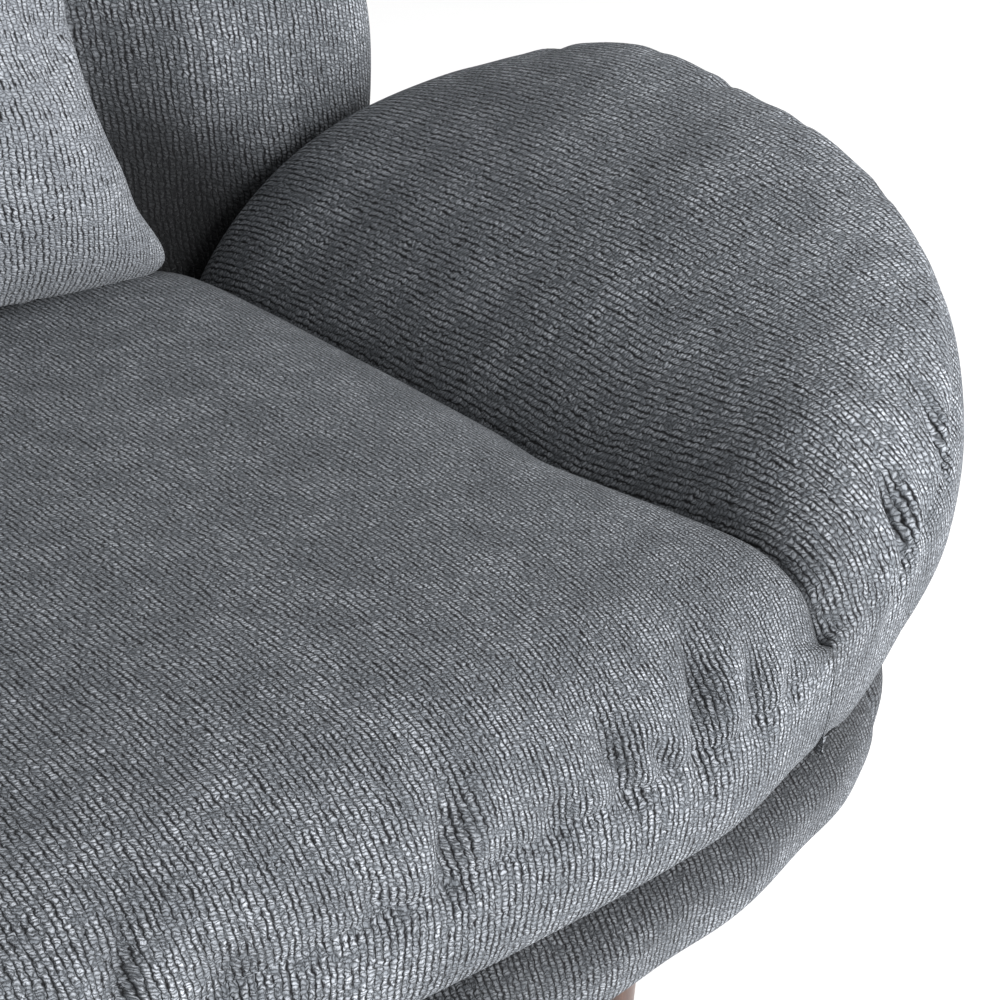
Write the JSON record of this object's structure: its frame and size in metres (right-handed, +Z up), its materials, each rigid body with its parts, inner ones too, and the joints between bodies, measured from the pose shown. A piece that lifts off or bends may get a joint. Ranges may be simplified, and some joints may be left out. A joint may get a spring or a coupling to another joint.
{
  "type": "lounge armchair",
  "caption": "Deep lounge armchair: petal arm cushions rise from one boxed band with the seat, tall back cushion, loose lumbar pillow, padded lower tier on round tapered legs.",
  "frame": {"origin": "on the floor, under the middle of the chair's overall plan", "axes": "+Z up; -Y is the chair's front; +X is the sitter's left-hand arm as seen facing the chair from the front, to the right of the picture"},
  "size_m": [1.0548, 0.9066, 0.8581],
  "materials": {
    "cloth": "mid-grey ribbed chenille, soft sheen",
    "pillow_cloth": "same chenille, a little lighter",
    "lining": "thin dark non-woven lining",
    "leg_wood": "dark stained turned beech, satin lacquer",
    "frame_timber": "planed beech, unfinished",
    "plywood": "birch plywood, unfinished",
    "foam": "open-cell foam and fibre wrap",
    "steel": "zinc-plated steel",
    "glide": "nylon"
  },
  "bodies": {
    "chair": {"leg_front_left": "leg_wood", "leg_front_right": "leg_wood", "leg_rear_left": "leg_wood", "leg_rear_right": "leg_wood", "leg_glides": "glide", "leg_studs": "steel", "tee_nuts": "steel", "leg_blocks": "frame_timber", "front_rail": "frame_timber", "rear_rail": "frame_timber", "side_rail_left": "frame_timber", "side_rail_right": "frame_timber", "corner_blocks": "frame_timber", "deck_board_front": "plywood", "deck_board_rear": "plywood", "deck_board_left": "plywood", "deck_board_right": "plywood", "rail_screws": "steel", "seat_springs": "steel", "spring_clips": "steel", "spring_pad": "lining", "deck_cover": "lining", "dust_cover": "lining", "tier_panel_front": "cloth", "tier_panel_rear": "cloth", "tier_panel_left": "cloth", "tier_panel_right": "cloth", "arm_board_left": "plywood", "arm_board_right": "plywood", "side_panel_left": "cloth", "side_panel_right": "cloth", "arm_cushion_left": "cloth", "arm_cushion_right": "cloth", "arm_foam_left": "foam", "arm_foam_right": "foam", "seat_cushion": "cloth", "seat_foam": "foam", "back_post_left": "frame_timber", "back_post_right": "frame_timber", "back_top_rail": "frame_timber", "back_lower_rail": "frame_timber", "back_springs": "steel", "back_clips": "steel", "back_bolts": "steel", "back_cushion": "cloth", "back_foam": "foam", "outside_back": "cloth", "back_border_left": "cloth", "back_border_right": "cloth", "back_border_top": "cloth"},
    "pillow": {"lumbar_pillow": "pillow_cloth", "pillow_fill": "foam"}
  },
  "joints": [
    {"name": "pillow_lift", "type": "slide", "parent": "chair", "child": "pillow", "axis": [0, 0, 1], "range_m": [0, 0.35]}
  ]
}
